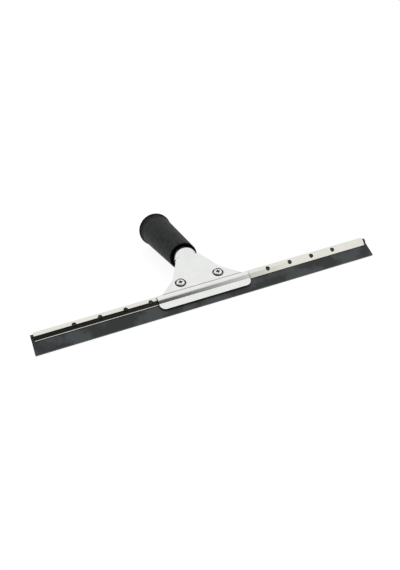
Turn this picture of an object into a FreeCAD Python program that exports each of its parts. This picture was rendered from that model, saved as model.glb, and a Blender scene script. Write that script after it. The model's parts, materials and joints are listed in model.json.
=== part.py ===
"""Window cleaning squeegee: a 35 cm channel and rubber held in a two-jaw clamp on a tube handle.

Everything is in millimetres. The clamp and the blade are drawn in the blade's own frame: X runs
along the channel, Y climbs the blade from the rubber's working edge past the channel towards the
handle, Z stands out of the blade's front face. Y = 0 is the row of holes, Z = 0 the channel's
front face. Each piece is then stood on the table by its Placement, so that the rubber's edge and
the rim at the butt of the grip both touch z = 0.
"""

import math
import os

import FreeCAD
import Part
from Sketcher import Constraint

doc = FreeCAD.newDocument("squeegee")

# ---------------------------------------------------------------- driving sizes

SIZES = [
    # channel: folded stainless strip, round crown, two flanges closing on the rubber
    ("channel_length", 350),
    ("channel_height", 10.1),
    ("channel_depth", 7.4),
    ("channel_sheet", 0.6),
    ("flange_height", 0.5),
    ("taper_height", 3.9),
    ("hole_line", 4.6),
    ("hole_diameter", 4.5),
    ("hole_pitch", 25),
    ("hole_count", 12),
    # rubber
    ("rubber_overhang", 3),
    ("rubber_web", 2),
    ("rubber_reach", 13.4),
    # working gaps
    ("slide_gap", 0.05),
    ("bead_gap", 0.15),
    ("jaw_gap", 0.1),
    # clamp
    ("jaw_offset", -7.5),
    ("jaw_width", 96),
    ("jaw_sheet", 1.4),
    ("jaw_edge", 0.35),
    ("lip_reach", 7),
    ("lip_corner", 6),
    ("lip_crease", 0.1),
    ("band_height", 2.4),
    ("band_flat", 0.1),
    ("crease_height", 3.4),
    ("crease_groove", 0.5),
    ("fan_angle", 13),
    ("fan_base", 84),
    ("fan_waist", 50),
    ("fan_waist_height", 16.5),
    ("fan_waist_curve", 20),
    ("fan_top", 25),
    ("fan_length", 42),
    ("neck_length", 10),
    ("neck_lift", 2.4),
    ("keeper_base", 76),
    ("keeper_back", 34),
    ("keeper_step", 0.7),
    ("keeper_shoulder", 15.4),
    ("keeper_length", 22),
    ("keeper_gap", 0.3),
    # screws and nuts, M5
    ("screw_spacing", 40),
    ("screw_height", 8.7),
    ("screw_diameter", 4.9),
    ("screw_head", 8.4),
    ("screw_head_height", 2.5),
    ("head_round", 1.5),
    ("head_gap", 0.1),
    ("jaw_play", 0.3),
    ("keeper_play", 0.4),
    ("recess_length", 4.4),
    ("recess_width", 1.5),
    ("recess_depth", 1.3),
    ("dish_diameter", 11.6),
    ("dish_floor", 9.2),
    ("dish_depth", 1.5),
    ("nut_flats", 8),
    ("nut_height", 4),
    ("screw_end", 1),
    ("screw_chamfer", 0.5),
    # handle
    ("handle_angle", 36.2),
    ("tube_diameter", 24),
    ("tube_wall", 1.2),
    ("tube_show", 7),
    ("tube_inset", 0.5),
    ("weld_gap", 0.02),
    ("grip_length", 110),
    ("grip_front", 30.2),
    ("grip_back", 37.2),
    ("grip_rim", 40),
    ("grip_flare", 9),
    ("grip_chamfer", 0.5),
    ("rim_round", 1.5),
    ("rim_bite", 0.3),
    ("grip_gap", 0.03),
]

# ---------------------------------------------------------------- sizes that follow from them

DERIVED = [
    ("half_depth", "channel_depth / 2"),
    ("crown_top", "channel_height - hole_line"),
    ("crown_centre", "crown_top - half_depth"),
    ("flange_half", "rubber_web / 2 + slide_gap + channel_sheet"),
    ("taper_low", "flange_height - hole_line"),
    ("taper_high", "taper_low + taper_height"),
    ("taper_lean", "atan((half_depth - flange_half) / taper_height)"),
    ("taper_shift", "channel_sheet * tan(taper_lean / 2)"),
    ("inner_half", "half_depth - channel_sheet"),
    ("bead_radius", "inner_half - bead_gap"),
    ("bead_rise", "inner_half * tan(taper_lean / 2) + bead_gap"),
    ("bead_centre", "taper_high + taper_shift + bead_rise"),
    ("rubber_length", "channel_length + 2 * rubber_overhang"),
    ("rubber_edge", "-hole_line - rubber_reach"),
    # clamp, measured from the middle plane of the channel
    ("pocket_half", "half_depth + jaw_gap"),
    ("lip_half", "flange_half + bead_gap"),
    ("lip_end", "-hole_line - lip_reach"),
    ("band_low", "taper_low + lip_crease"),
    ("band_high", "band_low + band_height"),
    ("band_lean", "atan((pocket_half - lip_half) / band_height)"),
    ("band_shift", "jaw_sheet * tan(band_lean / 2)"),
    # the hump's outer bend takes up the whole slope, but for a short flat at its foot
    ("band_slope", "(pocket_half - lip_half) / sin(band_lean)"),
    ("hump_round", "(band_slope - band_flat) / tan(band_lean / 2)"),
    ("crease_shift", "jaw_sheet * tan(fan_angle / 2)"),
    ("fan_face", "jaw_gap + jaw_sheet"),
    ("keeper_start", "crown_top + keeper_step"),
    # depth of the keeper's upper face below the face of the fan, along the screws
    ("keeper_rise", "(keeper_start - crease_height) * sin(fan_angle)"),
    ("keeper_deep", "(fan_face + half_depth + pocket_half) * cos(fan_angle) - keeper_rise"),
    ("nut_face", "keeper_deep + jaw_sheet"),
    ("screw_tip", "nut_face + nut_height + screw_end"),
    # dished seats: lean of the wall, and how far its underside stands outside it
    ("dish_lean", "atan(2 * dish_depth / (dish_diameter - dish_floor))"),
    ("dish_shift", "jaw_sheet * tan(dish_lean / 2)"),
    # neck: the crown of the tube stands neck_lift above the plane of the fan
    ("tube_radius", "tube_diameter / 2"),
    ("fan_end_y", "crease_height + fan_length * cos(fan_angle)"),
    ("fan_end_z", "fan_face - fan_length * sin(fan_angle)"),
    ("arch_top_y", "fan_end_y + neck_length * cos(fan_angle) + neck_lift * sin(fan_angle)"),
    ("arch_top_z", "fan_end_z - neck_length * sin(fan_angle) + neck_lift * cos(fan_angle)"),
    ("arch_y", "arch_top_y - tube_radius * sin(handle_angle)"),
    ("arch_z", "arch_top_z - tube_radius * cos(handle_angle)"),
    ("grip_y", "arch_y + tube_show * cos(handle_angle)"),
    ("grip_z", "arch_z - tube_show * sin(handle_angle)"),
    # the rim's rounding: its centre circle, and the lowest centre in the blade's frame
    ("rim_along", "grip_length - rim_round"),
    ("rim_start", "rim_along - rim_round"),
    ("rim_out", "grip_rim / 2 - rim_round"),
    ("rim_y", "grip_y + rim_along * cos(handle_angle) - rim_out * sin(handle_angle)"),
    ("rim_z", "grip_z - rim_along * sin(handle_angle) - rim_out * cos(handle_angle)"),
    # resting on the table: rubber's back edge and the rim at one height
    ("edge_z", "-half_depth - rubber_web / 2"),
    ("reach_y", "rim_y - rubber_edge"),
    ("reach_z", "rim_z - edge_z"),
    ("reach_all", "sqrt(reach_y ^ 2 + reach_z ^ 2)"),
    ("rest_angle", "(asin(rim_round / reach_all) - atan(reach_z / reach_y)) / 1 deg"),
    ("lift", "-rubber_edge * sin(rest_angle) - edge_z * cos(rest_angle)"),
    # front to back: the rubber's front edge to the back of the rim, centred on y = 0
    ("droop", "handle_angle - rest_angle"),
    ("front_y", "rubber_edge * cos(rest_angle) + (half_depth - rubber_web / 2) * sin(rest_angle)"),
    ("grip_world_y", "grip_y * cos(rest_angle) - grip_z * sin(rest_angle)"),
    ("back_y", "grip_world_y + rim_along * cos(droop) + rim_out * abs(sin(droop)) + rim_round"),
    ("shift", "-(front_y + back_y) / 2"),
]

size = doc.addObject("Spreadsheet::Sheet", "size")
for row, (alias, value) in enumerate(SIZES, start=1):
    size.set(f"A{row}", alias)
    size.set(f"B{row}", str(value))
    size.setAlias(f"B{row}", alias)
doc.recompute()
for row, (alias, formula) in enumerate(DERIVED, start=1):
    size.set(f"D{row}", alias)
    size.set(f"E{row}", "=" + formula)
    size.setAlias(f"E{row}", alias)
    doc.recompute()


# ---------------------------------------------------------------- helpers


def value_of(expression):
    """The number an expression stands for now."""
    value = size.evalExpression(str(expression))
    return float(getattr(value, "Value", value))


def bind(thing, prop, expression):
    """Tie a property to an expression."""
    thing.setExpression(prop, str(expression))


def new_body(name):
    """A named body, empty."""
    body = doc.addObject("PartDesign::Body", name)
    body.Label = name
    return body


def origin_plane(body, role):
    """One of a body's own origin planes."""
    for feature in body.Origin.OriginFeatures:
        if feature.Role == role:
            return feature
    raise ValueError(f"{body.Label} has no {role}")


def attach(thing, body, role, offset=None):
    """Lay a sketch or primitive on an origin plane, moved to (x, y, z) and turned about X."""
    thing.AttachmentSupport = [(origin_plane(body, role), "")]
    thing.MapMode = "FlatFace"
    if offset is None:
        return thing
    x, y, z, turn = offset
    about_x = FreeCAD.Rotation(FreeCAD.Vector(1, 0, 0), value_of(turn))
    thing.AttachmentOffset = FreeCAD.Placement(FreeCAD.Vector(), about_x)
    bind(thing, "AttachmentOffset.Base.x", x)
    bind(thing, "AttachmentOffset.Base.y", y)
    bind(thing, "AttachmentOffset.Base.z", z)
    if value_of(turn):
        bind(thing, "AttachmentOffset.Rotation.Angle", turn)
    return thing


def new_sketch(body, name, role, offset=None):
    """An empty sketch in a body."""
    return attach(body.newObject("Sketcher::SketchObject", name), body, role, offset)


def hold_point(sketch, index, which, x, y):
    """Fix one point of a sketch's geometry by two dimensions from the sketch's origin."""
    for kind, expression in (("DistanceX", x), ("DistanceY", y)):
        place = sketch.addConstraint(
            Constraint(kind, -1, 1, index, which, value_of(expression))
        )
        bind(sketch, f"Constraints[{place}]", expression)


def polygon(sketch, corners):
    """A closed outline through the corners, each held by its two expressions."""
    points = [FreeCAD.Vector(value_of(x), value_of(y), 0) for x, y in corners]
    count = len(points)
    first = sketch.GeometryCount
    for i in range(count):
        sketch.addGeometry(Part.LineSegment(points[i], points[(i + 1) % count]))
    for i in range(count):
        following = first + (i + 1) % count
        sketch.addConstraint(Constraint("Coincident", first + i, 2, following, 1))
        hold_point(sketch, first + i, 1, *corners[i])
    return sketch


def circle(sketch, x, y, radius):
    """A circle held by its centre and radius."""
    centre = FreeCAD.Vector(value_of(x), value_of(y), 0)
    upright = FreeCAD.Vector(0, 0, 1)
    index = sketch.addGeometry(Part.Circle(centre, upright, value_of(radius)))
    hold_point(sketch, index, 3, x, y)
    place = sketch.addConstraint(Constraint("Radius", index, value_of(radius)))
    bind(sketch, f"Constraints[{place}]", radius)
    return sketch


def mirrored(right_side):
    """A left-right symmetric outline from its right-hand corners, listed bottom to top."""
    left_side = [(f"-({x})", y) for x, y in reversed(right_side)]
    return right_side + left_side


def pad(body, sketch, length, both_ways=False, reverse=False):
    """Material along the sketch's normal."""
    feature = body.newObject("PartDesign::Pad", "Pad")
    feature.Profile = sketch
    feature.Midplane = both_ways
    feature.Reversed = reverse
    bind(feature, "Length", length)
    doc.recompute()
    return feature


def pocket(body, sketch, length, both_ways=False, reverse=False):
    """A cut along the sketch's normal; the volume must drop."""
    before = body.Shape.Volume
    feature = body.newObject("PartDesign::Pocket", "Pocket")
    feature.Profile = sketch
    feature.Midplane = both_ways
    feature.Reversed = reverse
    bind(feature, "Length", length)
    doc.recompute()
    if body.Shape.Volume >= before - 1e-6:
        raise ValueError(f"a pocket in {body.Label} cuts nothing")
    return feature


def revolve(body, sketch):
    """Material turned about the sketch's upright axis."""
    feature = body.newObject("PartDesign::Revolution", "Revolution")
    feature.Profile = sketch
    feature.ReferenceAxis = (sketch, ["V_Axis"])
    feature.Angle = 360
    doc.recompute()
    return feature


def round_edges(body, chosen, radius):
    """Fillet the edges of the body so far whose middle point passes the test."""
    tip = body.Tip
    names = []
    for number, edge in enumerate(tip.Shape.Edges, start=1):
        middle = edge.valueAt((edge.FirstParameter + edge.LastParameter) / 2)
        if chosen(edge, middle):
            names.append(f"Edge{number}")
    if not names:
        raise ValueError(f"no edges to round in {body.Label}")
    feature = body.newObject("PartDesign::Fillet", "Fillet")
    feature.Base = (tip, names)
    bind(feature, "Radius", radius)
    doc.recompute()
    return feature


def close_to(number, expression, within=0.05):
    """True where a coordinate is where an expression puts it."""
    return abs(number - value_of(expression)) < within


def runs_along_x(edge):
    """True for a straight edge parallel to X."""
    start, end = edge.Vertexes[0].Point, edge.Vertexes[-1].Point
    return abs(start.y - end.y) < 1e-6 and abs(start.z - end.z) < 1e-6


def cone(body, kind, offset, low_radius, high_radius, height):
    """A conical boss or cut standing on a turned plane."""
    feature = body.newObject(f"PartDesign::{kind}Cone", "Cone")
    attach(feature, body, "XY_Plane", offset)
    bind(feature, "Radius1", low_radius)
    bind(feature, "Radius2", high_radius)
    bind(feature, "Height", height)
    doc.recompute()
    return feature


def drill(body, offset, radius, height):
    """A plain hole standing on a turned plane."""
    feature = body.newObject("PartDesign::SubtractiveCylinder", "Cylinder")
    attach(feature, body, "XY_Plane", offset)
    bind(feature, "Radius", radius)
    bind(feature, "Height", height)
    doc.recompute()
    return feature


def stand(body, x="0", y="0", z="0", turn="size.rest_angle"):
    """Put a body's origin at (x, y, z) of the blade's frame, turned, standing on the table."""
    about_x = FreeCAD.Rotation(FreeCAD.Vector(1, 0, 0), value_of(turn))
    body.Placement = FreeCAD.Placement(FreeCAD.Vector(), about_x)
    rest = "size.rest_angle"
    bind(body, "Placement.Rotation.Angle", turn)
    bind(body, "Placement.Base.x", x)
    bind(body, "Placement.Base.y", f"size.shift + ({y}) * cos({rest}) - ({z}) * sin({rest})")
    bind(body, "Placement.Base.z", f"size.lift + ({y}) * sin({rest}) + ({z}) * cos({rest})")
    doc.recompute()


# ---------------------------------------------------------------- channel


def channel_outline(sketch, flange, face, lift, end):
    """Half-way up profile of the channel at one skin: flanges, taper, then the straight part."""
    low = f"size.taper_low + {lift}"
    high = f"size.taper_high + {lift}"
    near = [(end, flange), (low, flange), (high, face), ("size.crown_centre", face)]
    middle = "size.half_depth"
    front = [(y, f"-{middle} + {half}") for y, half in near]
    back = [(y, f"-{middle} - ({half})") for y, half in reversed(near)]
    return polygon(sketch, front + back)


channel = new_body("channel")
skin = new_sketch(channel, "skin", "YZ_Plane")
channel_outline(skin, "size.flange_half", "size.half_depth", "0", "-size.hole_line")
pad(channel, skin, "size.channel_length", both_ways=True)
crown = new_sketch(channel, "crown", "YZ_Plane")
circle(crown, "size.crown_centre", "-size.half_depth", "size.half_depth")
pad(channel, crown, "size.channel_length", both_ways=True)
inside = new_sketch(channel, "inside", "YZ_Plane")
channel_outline(
    inside,
    "size.rubber_web / 2 + size.slide_gap",
    "size.inner_half",
    "size.taper_shift",
    "-size.hole_line - 1",
)
pocket(channel, inside, "size.channel_length + 2", both_ways=True)
inner_crown = new_sketch(channel, "inner_crown", "YZ_Plane")
circle(inner_crown, "size.crown_centre", "-size.half_depth", "size.inner_half")
pocket(channel, inner_crown, "size.channel_length + 2", both_ways=True)
hole = new_sketch(channel, "hole", "XY_Plane")
circle(hole, "size.hole_pitch * (1 - size.hole_count) / 2", "0", "size.hole_diameter / 2")
punched = pocket(channel, hole, "4 * size.channel_depth", both_ways=True)
row = channel.newObject("PartDesign::LinearPattern", "row")
row.Originals = [punched]
row.Direction = (hole, ["H_Axis"])
bind(row, "Length", "size.hole_pitch * (size.hole_count - 1)")
bind(row, "Occurrences", "size.hole_count")
channel.Tip = row
stand(channel)

# ---------------------------------------------------------------- rubber blade

rubber = new_body("rubber_blade")
web = new_sketch(rubber, "web", "YZ_Plane")
polygon(
    web,
    [
        ("size.rubber_edge", "-size.half_depth - size.rubber_web / 2"),
        ("size.bead_centre", "-size.half_depth - size.rubber_web / 2"),
        ("size.bead_centre", "-size.half_depth + size.rubber_web / 2"),
        ("size.rubber_edge", "-size.half_depth + size.rubber_web / 2"),
    ],
)
pad(rubber, web, "size.rubber_length", both_ways=True)
bead = new_sketch(rubber, "bead", "YZ_Plane")
circle(bead, "size.bead_centre", "-size.half_depth", "size.bead_radius")
pad(rubber, bead, "size.rubber_length", both_ways=True)
stand(rubber)

# ---------------------------------------------------------------- top jaw: lip, hump, fan and neck

FACE = ("0", "size.crease_height", "size.fan_face", "-size.fan_angle")


def on_screw(side, deep):
    """A plane square to one screw, a depth below the fan's face."""
    lean = "size.fan_angle"
    x = f"{side} * size.screw_spacing / 2"
    y = f"size.crease_height + size.screw_height * cos({lean}) - ({deep}) * sin({lean})"
    z = f"size.fan_face - size.screw_height * sin({lean}) - ({deep}) * cos({lean})"
    return (x, y, z, f"-{lean}")


top_jaw = new_body("top_jaw")
hump = new_sketch(top_jaw, "hump", "YZ_Plane")
LIP_INSIDE = "size.lip_half - size.half_depth"
polygon(
    hump,
    [
        ("size.lip_end", f"{LIP_INSIDE} + size.jaw_sheet"),
        ("size.lip_end", LIP_INSIDE),
        ("size.band_low", LIP_INSIDE),
        ("size.band_high", "size.jaw_gap"),
        ("size.crease_height - size.crease_shift", "size.jaw_gap"),
        ("size.crease_height", "size.fan_face"),
        ("size.band_high - size.band_shift", "size.fan_face"),
        ("size.band_low - size.band_shift", f"{LIP_INSIDE} + size.jaw_sheet"),
    ],
)
pad(top_jaw, hump, "size.jaw_width", both_ways=True)


def outer_bend(edge, middle):
    """The long outer edge where a jaw starts to slope down to its lip."""
    return runs_along_x(edge) and close_to(middle.y, "size.band_high - size.band_shift")


round_edges(top_jaw, outer_bend, "size.hump_round")


def lip_corner(edge, middle):
    """The short upright edges at the two ends of the lip."""
    at_end = close_to(abs(middle.x), "size.jaw_width / 2")
    return at_end and close_to(middle.y, "size.lip_end") and edge.Length < 5


round_edges(top_jaw, lip_corner, "size.lip_corner")
fan = new_sketch(top_jaw, "fan", "XY_Plane", FACE)
polygon(
    fan,
    mirrored(
        [
            ("size.fan_base / 2", "0"),
            ("size.fan_waist / 2", "size.fan_waist_height"),
            ("size.fan_top / 2", "size.fan_length"),
        ]
    ),
)
pad(top_jaw, fan, "size.jaw_sheet", reverse=True)


def fan_waist(edge, middle):
    """The short edges where the fan's sides turn outwards."""
    return close_to(abs(middle.x), "size.fan_waist / 2") and edge.Length < 5


round_edges(top_jaw, fan_waist, "size.fan_waist_curve")


def fan_outline(edge, middle):
    """The upper edges along the fan's two sides."""
    lean = value_of("size.fan_angle")
    along = middle.y - value_of("size.crease_height")
    face = value_of("size.fan_face") - along * math.tan(math.radians(lean))
    on_face = abs(middle.z - face) < 0.01
    return on_face and along > 1 and abs(middle.x) > value_of("size.fan_top / 2") + 0.5


round_edges(top_jaw, fan_outline, "size.jaw_edge")
AT_FAN_END = ("0", "size.fan_end_y", "size.fan_end_z", "90 - size.fan_angle")
fan_end = new_sketch(top_jaw, "fan_end", "XY_Plane", AT_FAN_END)
polygon(
    fan_end,
    [
        ("-size.fan_top / 2", "0"),
        ("size.fan_top / 2", "0"),
        ("size.fan_top / 2", "-size.jaw_sheet"),
        ("-size.fan_top / 2", "-size.jaw_sheet"),
    ],
)


def half_ring(sketch, outer, inner):
    """The half above the sketch's X axis of a ring centred on the origin."""
    upright = FreeCAD.Vector(0, 0, 1)
    for radius in (outer, inner):
        whole = Part.Circle(FreeCAD.Vector(), upright, value_of(radius))
        index = sketch.addGeometry(Part.ArcOfCircle(whole, 0, math.pi))
        sketch.addConstraint(Constraint("Coincident", index, 3, -1, 1))
        sketch.addConstraint(Constraint("PointOnObject", index, 1, -1))
        sketch.addConstraint(Constraint("PointOnObject", index, 2, -1))
        place = sketch.addConstraint(Constraint("Radius", index, value_of(radius)))
        bind(sketch, f"Constraints[{place}]", radius)
    for end, way in ((1, 1), (2, -1)):
        wide = FreeCAD.Vector(way * value_of(outer), 0, 0)
        narrow = FreeCAD.Vector(way * value_of(inner), 0, 0)
        index = sketch.addGeometry(Part.LineSegment(wide, narrow))
        sketch.addConstraint(Constraint("Coincident", index, 1, 0, end))
        sketch.addConstraint(Constraint("Coincident", index, 2, 1, end))
    return sketch


AT_ARCH = ("0", "size.arch_y", "size.arch_z", "90 - size.handle_angle")
arch = new_sketch(top_jaw, "arch", "XY_Plane", AT_ARCH)
half_ring(arch, "size.tube_radius", "size.tube_radius - size.tube_wall")
neck = top_jaw.newObject("PartDesign::AdditiveLoft", "neck")
neck.Profile = fan_end
neck.Sections = [arch]
doc.recompute()
groove = new_sketch(top_jaw, "groove", "YZ_Plane")
polygon(
    groove,
    [
        ("size.crease_height - size.crease_groove", "size.fan_face"),
        ("size.crease_height", "size.fan_face - size.crease_groove"),
        ("size.crease_height + size.crease_groove", "size.fan_face"),
    ],
)
pocket(top_jaw, groove, "size.jaw_width + 2", both_ways=True)
floor = "size.dish_floor / 2"
mouth = "size.dish_diameter / 2"
for side in (-1, 1):
    at_floor = on_screw(side, "size.dish_depth")
    under_floor = on_screw(side, "size.dish_depth + size.jaw_sheet")
    below = on_screw(side, "size.dish_depth + 2 * size.jaw_sheet")
    outer_floor = f"{floor} + size.dish_shift"
    outer_mouth = f"{mouth} + size.dish_shift"
    cone(top_jaw, "Additive", under_floor, outer_floor, outer_mouth, "size.dish_depth")
    cone(top_jaw, "Subtractive", at_floor, floor, mouth, "size.dish_depth")
    drill(top_jaw, below, "size.screw_diameter / 2 + size.jaw_play", "4 * size.jaw_sheet")
stand(top_jaw, x="size.jaw_offset")

# ---------------------------------------------------------------- lower jaw, the keeper under it

lower_jaw = new_body("lower_jaw")
cup = new_sketch(lower_jaw, "cup", "YZ_Plane")
MIDDLE = "-size.half_depth"
polygon(
    cup,
    [
        ("size.lip_end", f"{MIDDLE} - size.lip_half"),
        ("size.lip_end", f"{MIDDLE} - size.lip_half - size.jaw_sheet"),
        ("size.band_low - size.band_shift", f"{MIDDLE} - size.lip_half - size.jaw_sheet"),
        ("size.band_high - size.band_shift", f"{MIDDLE} - size.pocket_half - size.jaw_sheet"),
        ("size.keeper_start - size.crease_shift", f"{MIDDLE} - size.pocket_half - size.jaw_sheet"),
        ("size.keeper_start", f"{MIDDLE} - size.pocket_half"),
        ("size.band_high", f"{MIDDLE} - size.pocket_half"),
        ("size.band_low", f"{MIDDLE} - size.lip_half"),
    ],
)
pad(lower_jaw, cup, "size.jaw_width", both_ways=True)
round_edges(lower_jaw, outer_bend, "size.hump_round")
round_edges(lower_jaw, lip_corner, "size.lip_corner")
KEEPER_FACE = ("0", "size.keeper_start", f"{MIDDLE} - size.pocket_half", "-size.fan_angle")
plate = new_sketch(lower_jaw, "plate", "XY_Plane", KEEPER_FACE)
polygon(
    plate,
    mirrored(
        [
            ("size.keeper_base / 2", "-0.1 * size.jaw_sheet"),
            ("size.keeper_back / 2", "size.keeper_shoulder"),
            ("size.keeper_back / 2", "size.keeper_length"),
        ]
    ),
)
pad(lower_jaw, plate, "size.jaw_sheet", reverse=True)
heel = new_sketch(lower_jaw, "heel", "XY_Plane", KEEPER_FACE)
polygon(
    heel,
    mirrored(
        [
            ("size.keeper_back / 2", "size.keeper_length - size.jaw_sheet"),
            ("size.keeper_back / 2", "size.keeper_length"),
        ]
    ),
)
pad(lower_jaw, heel, "size.keeper_deep - size.jaw_sheet - size.keeper_gap")
for side in (-1, 1):
    below = on_screw(side, "size.nut_face + size.jaw_sheet")
    drill(lower_jaw, below, "size.screw_diameter / 2 + size.keeper_play", "3 * size.jaw_sheet")
stand(lower_jaw, x="size.jaw_offset")

# ---------------------------------------------------------------- screws and nuts

SCREW_TURN = "size.rest_angle - size.fan_angle"


def stand_on_screw(body, side):
    """Put a body on one screw's axis, its origin in the plane of the fan's face."""
    x, y, z, _ = on_screw(side, "0")
    stand(body, f"size.jaw_offset + {x}", y, z, SCREW_TURN)


for name, side in (("left", -1), ("right", 1)):
    screw = new_body(f"screw_{name}")
    seat = "size.head_gap - size.dish_depth"
    top = f"{seat} + size.screw_head_height"
    profile = new_sketch(screw, "profile", "XZ_Plane")
    polygon(
        profile,
        [
            ("0", "-size.screw_tip"),
            ("size.screw_diameter / 2 - size.screw_chamfer", "-size.screw_tip"),
            ("size.screw_diameter / 2", "-size.screw_tip + size.screw_chamfer"),
            ("size.screw_diameter / 2", seat),
            ("size.screw_head / 2", seat),
            ("size.screw_head / 2", top),
            ("0", top),
        ],
    )
    revolve(screw, profile)
    round_edges(screw, lambda edge, middle: close_to(middle.z, top), "size.head_round")
    long_half = "size.recess_length / 2"
    wide_half = "size.recess_width / 2"
    for x, y in ((long_half, wide_half), (wide_half, long_half)):
        slot = new_sketch(screw, "slot", "XY_Plane", ("0", "0", top, "0"))
        polygon(slot, [(x, f"-{y}"), (x, y), (f"-{x}", y), (f"-{x}", f"-{y}")])
        pocket(screw, slot, "size.recess_depth")
    stand_on_screw(screw, side)

    nut = new_body(f"nut_{name}")
    hexagon = new_sketch(nut, "hexagon", "XY_Plane", ("0", "0", "-size.nut_face", "0"))
    corner = "size.nut_flats / sqrt(3)"
    corners = [(f"{corner} * cos({60 * k})", f"{corner} * sin({60 * k})") for k in range(6)]
    polygon(hexagon, corners)
    pad(nut, hexagon, "size.nut_height", reverse=True)
    bore = new_sketch(nut, "bore", "XY_Plane", ("0", "0", "-size.nut_face", "0"))
    circle(bore, "0", "0", "size.screw_diameter / 2 + size.slide_gap")
    pocket(nut, bore, "3 * size.nut_height", both_ways=True)
    stand_on_screw(nut, side)

# ---------------------------------------------------------------- handle: steel tube, rubber grip

HANDLE_TURN = "size.rest_angle - size.handle_angle - 90"

tube = new_body("neck_tube")
ring = new_sketch(tube, "ring", "XY_Plane", ("0", "0", "size.weld_gap - size.tube_show", "0"))
circle(ring, "0", "0", "size.tube_radius")
circle(ring, "0", "0", "size.tube_radius - size.tube_wall")
pad(tube, ring, "size.grip_length + size.tube_show - size.weld_gap - size.tube_inset")
stand(tube, "size.jaw_offset", "size.grip_y", "size.grip_z", HANDLE_TURN)

grip = new_body("grip")
sleeve = new_sketch(grip, "sleeve", "XZ_Plane")
flare_start = "size.grip_length - size.grip_flare"
polygon(
    sleeve,
    [
        ("size.tube_radius + size.grip_gap", "0"),
        ("size.grip_front / 2 - size.grip_chamfer", "0"),
        ("size.grip_front / 2", "size.grip_chamfer"),
        ("size.grip_back / 2", flare_start),
        ("size.rim_out", "size.rim_start + size.rim_bite"),
        ("size.rim_out", "size.grip_length"),
        ("size.tube_radius + size.grip_gap", "size.grip_length"),
    ],
)
revolve(grip, sleeve)
bulge = grip.newObject("PartDesign::AdditiveTorus", "rim")
attach(bulge, grip, "XY_Plane", ("0", "0", "size.rim_along", "0"))
bind(bulge, "Radius1", "size.rim_out")
bind(bulge, "Radius2", "size.rim_round")
doc.recompute()
stand(grip, "size.jaw_offset", "size.grip_y", "size.grip_z", HANDLE_TURN)

# ---------------------------------------------------------------- check and write

doc.recompute()
for thing in doc.Objects:
    if "Invalid" in thing.State or "Error" in thing.State:
        raise ValueError(f"{thing.Label} did not rebuild: {thing.State}")

os.makedirs("parts", exist_ok=True)
for body in doc.Objects:
    if body.TypeId != "PartDesign::Body":
        continue
    shape = body.Shape
    if shape.isNull() or not shape.isValid() or len(shape.Solids) != 1:
        raise ValueError(f"{body.Label} is not one sound solid")
    shape.exportStep(f"parts/{body.Label}.step")
    print(body.Label, round(shape.Volume, 1))
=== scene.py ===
"""Looks of the window cleaning squeegee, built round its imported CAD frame. Metres."""

import json
import math

import bmesh
import bpy
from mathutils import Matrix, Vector


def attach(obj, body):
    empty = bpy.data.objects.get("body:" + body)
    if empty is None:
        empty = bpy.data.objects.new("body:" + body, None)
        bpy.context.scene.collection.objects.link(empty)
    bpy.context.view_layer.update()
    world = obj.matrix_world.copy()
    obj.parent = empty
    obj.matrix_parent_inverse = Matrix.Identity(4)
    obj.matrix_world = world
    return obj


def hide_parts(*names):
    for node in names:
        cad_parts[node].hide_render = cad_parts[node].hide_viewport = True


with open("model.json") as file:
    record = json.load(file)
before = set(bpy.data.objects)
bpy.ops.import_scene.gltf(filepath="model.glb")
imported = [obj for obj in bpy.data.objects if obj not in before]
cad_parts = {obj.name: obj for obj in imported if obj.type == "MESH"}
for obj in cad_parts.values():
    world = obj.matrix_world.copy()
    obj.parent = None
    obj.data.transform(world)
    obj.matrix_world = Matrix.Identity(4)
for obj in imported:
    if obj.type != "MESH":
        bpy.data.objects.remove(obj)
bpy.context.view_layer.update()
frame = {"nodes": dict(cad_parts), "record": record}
nodes = frame["nodes"]
scene = bpy.context.scene

# ---------------------------------------------------------------- node helpers

# Most of a noise lies between these.
NOISE_LOW = 0.3
NOISE_HIGH = 0.7
# How much of the space round a place is open, as a share: these bound the painted shade, full at
# the lower share and none at the upper.
NO_SHADE_OPEN = 0.95
FULL_SHADE_OPEN = 0.35


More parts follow.
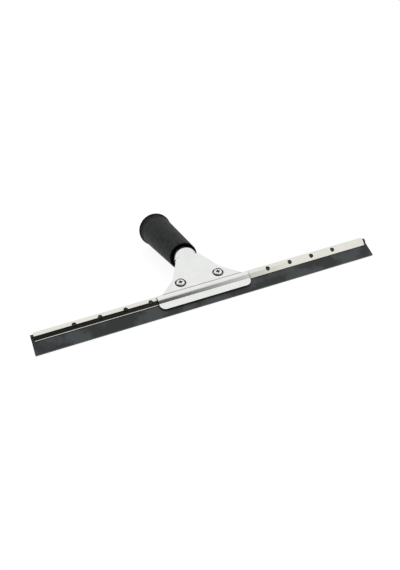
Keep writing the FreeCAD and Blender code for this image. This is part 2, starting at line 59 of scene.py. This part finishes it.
class Nodes:
    """A small wrapper for wiring a material's or the world's shader nodes."""

    def __init__(self, tree):
        self.tree = tree

    def add(self, kind, **settings):
        """A new node with its properties set."""
        node = self.tree.nodes.new(kind)
        for name, value in settings.items():
            setattr(node, name, value)
        return node

    def link(self, source, target):
        """Join an output socket to an input socket."""
        self.tree.links.new(source, target)

    def scaled(self, x=1, y=1):
        """Object coordinates, stretched where a scale is below 1."""
        place = self.add("ShaderNodeTexCoord")
        node = self.add("ShaderNodeMapping")
        node.inputs["Scale"].default_value = (x, y, 1)
        self.link(place.outputs["Object"], node.inputs["Vector"])
        return node.outputs["Vector"]

    def noise(self, place, scale, detail, roughness=0.5):
        """Fractal noise, about 0.5."""
        node = self.add("ShaderNodeTexNoise")
        node.inputs["Scale"].default_value = scale
        node.inputs["Detail"].default_value = detail
        node.inputs["Roughness"].default_value = roughness
        self.link(place, node.inputs["Vector"])
        return node.outputs["Fac"]

    def spread(self, factor, low, high, start=NOISE_LOW, end=NOISE_HIGH, smooth=False):
        """Map a factor from start..end to low..high."""
        node = self.add("ShaderNodeMapRange")
        if smooth:
            node.interpolation_type = "SMOOTHSTEP"
        node.inputs["From Min"].default_value = start
        node.inputs["From Max"].default_value = end
        node.inputs["To Min"].default_value = low
        node.inputs["To Max"].default_value = high
        self.link(factor, node.inputs["Value"])
        return node.outputs["Result"]

    def tint(self, factor, dark, light):
        """A colour between two, by a noise."""
        node = self.add("ShaderNodeValToRGB")
        first, last = node.color_ramp.elements
        first.position = NOISE_LOW
        first.color = (*dark, 1)
        last.position = NOISE_HIGH
        last.color = (*light, 1)
        self.link(factor, node.inputs["Fac"])
        return node.outputs["Color"]

    def maths(self, operation, first, second):
        """A math node on two sockets or numbers."""
        node = self.add("ShaderNodeMath", operation=operation)
        for socket, value in zip(node.inputs, (first, second)):
            if isinstance(value, (int, float)):
                socket.default_value = value
            else:
                self.link(value, socket)
        return node.outputs["Value"]

    def openness(self, reach, shut):
        """0 where a share shut, or less, of the space within reach is open, rising to 1."""
        node = self.add("ShaderNodeAmbientOcclusion")
        node.inputs["Distance"].default_value = reach
        return self.spread(node.outputs["AO"], 0.0, 1.0, shut, NO_SHADE_OPEN, smooth=True)

    def add_painted_shade(self, colour, reach, shade_colour, shut):
        """A colour darkened towards painted shade in corners and in recesses narrower than reach.
        """
        node = self.add("ShaderNodeMix", data_type="RGBA")
        self.link(self.openness(reach, shut), node.inputs["Factor"])
        node.inputs["A"].default_value = (*shade_colour, 1)
        self.link(colour, node.inputs["B"])
        return node.outputs["Result"]

    def bump(self, height, distance):
        """A normal roughened by a height."""
        node = self.add("ShaderNodeBump")
        node.inputs["Distance"].default_value = distance
        node.inputs["Strength"].default_value = 1.0
        self.link(height, node.inputs["Height"])
        return node.outputs["Normal"]


def new_material(name):
    """A node material with its tree and its Principled shader."""
    material = bpy.data.materials.new(name)
    material.use_nodes = True
    shader = material.node_tree.nodes["Principled BSDF"]
    return material, Nodes(material.node_tree), shader


# ---------------------------------------------------------------- materials

# The near-black colour of painted shade in recesses and corners.
PAINTED_SHADE_COLOUR = (0.004, 0.004, 0.005)
COARSE_DETAIL = 5.0
FINE_DETAIL = 2.0
CLOUD_SCALE = 70.0
CLOUD_ROUGHNESS = 0.6
LINE_SCALE = 1200.0
BLOOM_ROUGHNESS = 0.55
BLOOM_START = 0.35
BLOOM_END = 0.65
ROUGH_SPREAD = 0.08


def steel(name, dark, light, smooth, rough, grain, depth, shade_reach, shut=FULL_SHADE_OPEN):
    """Metal with a faint cloudy tone, grain that runs along X, and painted shade darkening its
    recesses.
    """
    material, tree, shader = new_material(name)
    shader.inputs["Metallic"].default_value = 1.0
    cloud = tree.noise(tree.scaled(), CLOUD_SCALE, COARSE_DETAIL, CLOUD_ROUGHNESS)
    # Painted shade: ambient occlusion darkens the colour in recesses and corners.
    colour = tree.add_painted_shade(tree.tint(cloud, dark, light), shade_reach, PAINTED_SHADE_COLOUR, shut)
    tree.link(colour, shader.inputs["Base Color"])
    lines = tree.noise(tree.scaled(x=grain), LINE_SCALE, FINE_DETAIL)
    tree.link(tree.spread(lines, smooth, rough), shader.inputs["Roughness"])
    tree.link(tree.bump(lines, depth), shader.inputs["Normal"])
    return material


def rubber(name, dark, light, rough, gloss, patch, pit, lengthwise, depth, shade_reach):
    """Dull rubber with a mottled bloom, fine pitting, and painted shade darkening its recesses.
    """
    material, tree, shader = new_material(name)
    shader.inputs["Specular IOR Level"].default_value = gloss
    bloom = tree.noise(tree.scaled(), patch, COARSE_DETAIL, BLOOM_ROUGHNESS)
    bloom = tree.spread(bloom, 0.0, 1.0, BLOOM_START, BLOOM_END)
    # Painted shade: ambient occlusion darkens the colour in recesses and corners.
    colour = tree.add_painted_shade(tree.tint(bloom, dark, light), shade_reach, PAINTED_SHADE_COLOUR, FULL_SHADE_OPEN)
    tree.link(colour, shader.inputs["Base Color"])
    pits = tree.noise(tree.scaled(y=lengthwise), pit, FINE_DETAIL)
    uneven = tree.spread(pits, rough - ROUGH_SPREAD, rough + ROUGH_SPREAD)
    tree.link(uneven, shader.inputs["Roughness"])
    tree.link(tree.bump(pits, depth), shader.inputs["Normal"])
    return material


def dress(material, *names):
    """Give CAD nodes a material."""
    for name in names:
        mesh = nodes[name].data
        mesh.materials.clear()
        mesh.materials.append(material)


satin = steel(
    "satin_steel",
    dark=(0.78, 0.79, 0.775),
    light=(0.84, 0.85, 0.835),
    smooth=0.13,
    rough=0.20,
    grain=0.4,
    depth=3e-6,
    shade_reach=0.0006,
)
bright = steel(
    "bright_steel",
    dark=(0.74, 0.73, 0.66),
    light=(0.80, 0.79, 0.73),
    smooth=0.06,
    rough=0.12,
    grain=0.05,
    depth=1e-6,
    shade_reach=0.005,
    shut=0.5,
)
fastener = steel(
    "fastener_steel",
    dark=(0.76, 0.76, 0.76),
    light=(0.84, 0.84, 0.84),
    smooth=0.08,
    rough=0.13,
    grain=1,
    depth=2e-6,
    shade_reach=0.004,
    shut=0.62,
)
blade = rubber(
    "blade_rubber",
    dark=(0.010, 0.012, 0.013),
    light=(0.044, 0.051, 0.055),
    rough=0.38,
    gloss=0.42,
    patch=38,
    pit=2600,
    lengthwise=1,
    depth=1e-5,
    shade_reach=0.004,
)
sleeve = rubber(
    "grip_rubber",
    dark=(0.004, 0.0055, 0.005),
    light=(0.010, 0.013, 0.012),
    rough=0.60,
    gloss=0.14,
    patch=150,
    pit=1100,
    lengthwise=0.04,
    depth=2.5e-4,
    shade_reach=0.0025,
)
dress(satin, "top_jaw", "lower_jaw", "neck_tube")
dress(bright, "channel")
dress(fastener, "screw_left", "screw_right", "nut_left", "nut_right")
dress(blade, "rubber_blade")

# ---------------------------------------------------------------- grip: a fluted, flared sleeve

SOCKET = next(mount for mount in frame["record"]["mounts"] if mount["name"] == "pole_socket")
CENTRE = Vector(SOCKET["pos_m"])
AXIS = Vector(SOCKET["axis"]).normalized()
SIDE = Vector((1, 0, 0))
UP = SIDE.cross(AXIS)


def about_axis(node):
    """A node's vertices as (along, out) from the middle of the handle's bore."""
    pairs = []
    for vertex in nodes[node].data.vertices:
        offset = vertex.co - CENTRE
        along = offset.dot(AXIS)
        pairs.append((along, (offset - AXIS * along).length))
    return pairs


grip_cad = about_axis("grip")
FRONT = min(along for along, out in grip_cad)
BACK = max(along for along, out in grip_cad)
LENGTH = BACK - FRONT
BORE = min(out for along, out in grip_cad)
RIM = max(out for along, out in grip_cad)
NOSE_SPAN = 0.002
NOSE = max(out for along, out in grip_cad if along < FRONT + NOSE_SPAN)

FLARE = 0.009
FLARE_CURVE = 1.5
WAIST = max(out for along, out in grip_cad if along < BACK - FLARE / 2)
RIM_WIDTH = 0.0030
RIM_GROOVE = 0.0008
RIM_START = LENGTH - RIM_WIDTH
NOSE_WALL = 0.0011
NOSE_DEPTH = 0.004
FLUTES = 36
FLUTE_LENGTH = 0.020
FLUTE_START = LENGTH - FLUTE_LENGTH
FLUTE_DEPTH = 0.0011
STEPS_PER_FLUTE = 8
# Where the rounds of the section start and end, in degrees from the rear.
NOSE_ROUND = (270, 90)
RIM_ROUND = (170, 0)
NOSE_STEPS = 8
BODY_STEPS = 44
FLUTE_STEPS = 26
RIM_STEPS = 12


def smooth(value, start, end):
    """0 at start, 1 at end, eased at both."""
    part = min(max((value - start) / (end - start), 0), 1)
    return part * part * (3 - 2 * part)


def sleeve_radius(along):
    """The sleeve's outside, without flutes, a distance behind its front."""
    flare_start = LENGTH - FLARE
    straight = NOSE + (WAIST - NOSE) * min(along / flare_start, 1)
    rise = RIM - RIM_GROOVE - WAIST
    return straight + rise * smooth(along, flare_start, RIM_START) ** FLARE_CURVE


def flute_cut(along, turn):
    """How deep the flutes cut, a distance behind the front, at an angle round the axis."""
    if along > RIM_START:
        return 0.0
    fade = smooth(along, FLUTE_START, FLUTE_START + FLUTE_LENGTH / 2)
    wave = 0.5 + 0.5 * math.cos(FLUTES * turn)
    return FLUTE_DEPTH * fade * wave**2


def arc(centre, radius, start, end, steps):
    """Points of a round in (along, out), from one angle to another in degrees."""
    points = []
    for step in range(steps + 1):
        angle = math.radians(start + (end - start) * step / steps)
        points.append(
            (centre[0] + radius * math.cos(angle), centre[1] + radius * math.sin(angle))
        )
    return points


def stations():
    """The sleeve's section as (along, out) behind its front, from inside the nose to the bore."""
    section = [(NOSE_DEPTH, BORE), (NOSE_DEPTH, NOSE - NOSE_WALL)]
    half_wall = NOSE_WALL / 2
    section += arc((half_wall, NOSE - half_wall), half_wall, *NOSE_ROUND, NOSE_STEPS)
    for step in range(1, BODY_STEPS):
        along = half_wall + (FLUTE_START - half_wall) * step / BODY_STEPS
        section.append((along, sleeve_radius(along)))
    for step in range(FLUTE_STEPS + 1):
        along = FLUTE_START + (FLUTE_LENGTH - RIM_WIDTH) * step / FLUTE_STEPS
        section.append((along, sleeve_radius(along)))
    half_rim = RIM_WIDTH / 2
    section += arc((LENGTH - half_rim, RIM - half_rim), half_rim, *RIM_ROUND, RIM_STEPS)
    section += [(LENGTH, RIM - RIM_WIDTH), (LENGTH, BORE)]
    return section


def lathe(name, section, around, cut):
    """A closed turned mesh about the handle's axis, its outside cut by a function of place."""
    shape = bmesh.new()
    rings = []
    for along, out in section:
        ring = []
        for step in range(around):
            turn = 2 * math.pi * step / around
            radius = out
            if out > BORE + NOSE_WALL:
                radius -= cut(along, turn)
            spoke = SIDE * math.cos(turn) + UP * math.sin(turn)
            ring.append(shape.verts.new(CENTRE + AXIS * (FRONT + along) + spoke * radius))
        rings.append(ring)
    for ring, following in zip(rings, rings[1:] + rings[:1]):
        for step in range(around):
            after = (step + 1) % around
            shape.faces.new((ring[step], ring[after], following[after], following[step]))
    bmesh.ops.recalc_face_normals(shape, faces=shape.faces)
    mesh = bpy.data.meshes.new(name)
    shape.to_mesh(mesh)
    shape.free()
    for face in mesh.polygons:
        face.use_smooth = True
    made = bpy.data.objects.new(name, mesh)
    scene.collection.objects.link(made)
    return made


grip = lathe("grip_sleeve", stations(), FLUTES * STEPS_PER_FLUTE, flute_cut)
grip.data.materials.append(sleeve)
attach(grip, "handle")
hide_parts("grip")

# ---------------------------------------------------------------- studio

FLOOR_SPAN = 400
FLOOR_GREY = 0.12
FLOOR_GLOW = 0.91
bpy.ops.mesh.primitive_plane_add(size=FLOOR_SPAN, location=(0, 0, 0))
floor = bpy.context.object
floor.name = "floor"
paper, _, shader = new_material("paper")
shader.inputs["Base Color"].default_value = (FLOOR_GREY, FLOOR_GREY, FLOOR_GREY, 1)
shader.inputs["Emission Color"].default_value = (1, 1, 1, 1)
shader.inputs["Emission Strength"].default_value = FLOOR_GLOW
shader.inputs["Roughness"].default_value = 1.0
shader.inputs["Specular IOR Level"].default_value = 0.0
floor.data.materials.append(paper)

# A white room, dark from in front of the object round to its left, and dimmer low on its walls.
# Each pair says where the dark ends and where the white is full, as a share of a direction.
# DARK_LEFT and WALL_LEFT are the light left in the dark and at the foot of the walls.
DARK_TURN = -2
DARK_SIDE = (0.20, 0.46)
DARK_TOP = (0.58, 0.91)
DARK_BACK = (0.35, 0.0)
DARK_LEFT = 0.02
WALL_LEFT = 0.55
WALL_TOP = 0.30
world = bpy.data.worlds.new("studio")
world.use_nodes = True
room = Nodes(world.node_tree)
sky = world.node_tree.nodes["Background"]
looked_at = room.add("ShaderNodeTexCoord").outputs["Generated"]


def share(direction, start, end, low=0.0):
    """Light that eases from low to 1 as a spot's share of a direction goes from start to end."""
    node = room.add("ShaderNodeVectorMath", operation="DOT_PRODUCT")
    node.inputs[1].default_value = direction
    room.link(looked_at, node.inputs[0])
    if start < end:
        return room.spread(node.outputs["Value"], low, 1.0, start, end, smooth=True)
    return room.spread(node.outputs["Value"], 1.0, low, end, start, smooth=True)


turn = math.radians(DARK_TURN)
beside = share((math.cos(turn), math.sin(turn), 0), *DARK_SIDE)
above = share((0, 0, 1), *DARK_TOP)
behind = share((math.sin(turn), -math.cos(turn), 0), *DARK_BACK)
wall = share((0, 0, 1), 0.0, WALL_TOP, WALL_LEFT)
# The backdrop itself stays white.
backdrop = room.add("ShaderNodeLightPath").outputs["Is Camera Ray"]
clear = backdrop
for white in (beside, above, behind, DARK_LEFT):
    clear = room.maths("MAXIMUM", clear, white)
wall = room.maths("MAXIMUM", wall, backdrop)
room.link(room.maths("MULTIPLY", clear, wall), sky.inputs["Strength"])
sky.inputs["Color"].default_value = (1, 1, 1, 1)
scene.world = world


def softbox(name, place, size, power):
    """A square area light turned towards the middle of the object, unseen in its gloss."""
    lamp = bpy.data.lights.new(name, "AREA")
    lamp.size = size
    lamp.energy = power
    made = bpy.data.objects.new(name, lamp)
    scene.collection.objects.link(made)
    made.visible_glossy = False
    made.location = place
    made.rotation_mode = "QUATERNION"
    made.rotation_quaternion = Vector(place).to_track_quat("Z", "Y")


softbox("overhead", (0.2, 0.5, 1.8), size=1.6, power=9)

# ---------------------------------------------------------------- camera

FOCAL_MM = 37.47
SENSOR_MM = 36
STANDPOINT = (-0.16051, -0.57324, 0.28073)
TILT_DEGREES = (62.78, 7.485, -20.582)
NEAREST = 0.01
FARTHEST = 500
lens = bpy.data.cameras.new("camera")
lens.lens = FOCAL_MM
lens.sensor_width = SENSOR_MM
lens.clip_start = NEAREST
lens.clip_end = FARTHEST
camera = bpy.data.objects.new("camera", lens)
camera.location = STANDPOINT
camera.rotation_euler = [math.radians(angle) for angle in TILT_DEGREES]
scene.collection.objects.link(camera)
scene.camera = camera
scene.view_settings.view_transform = "Standard"
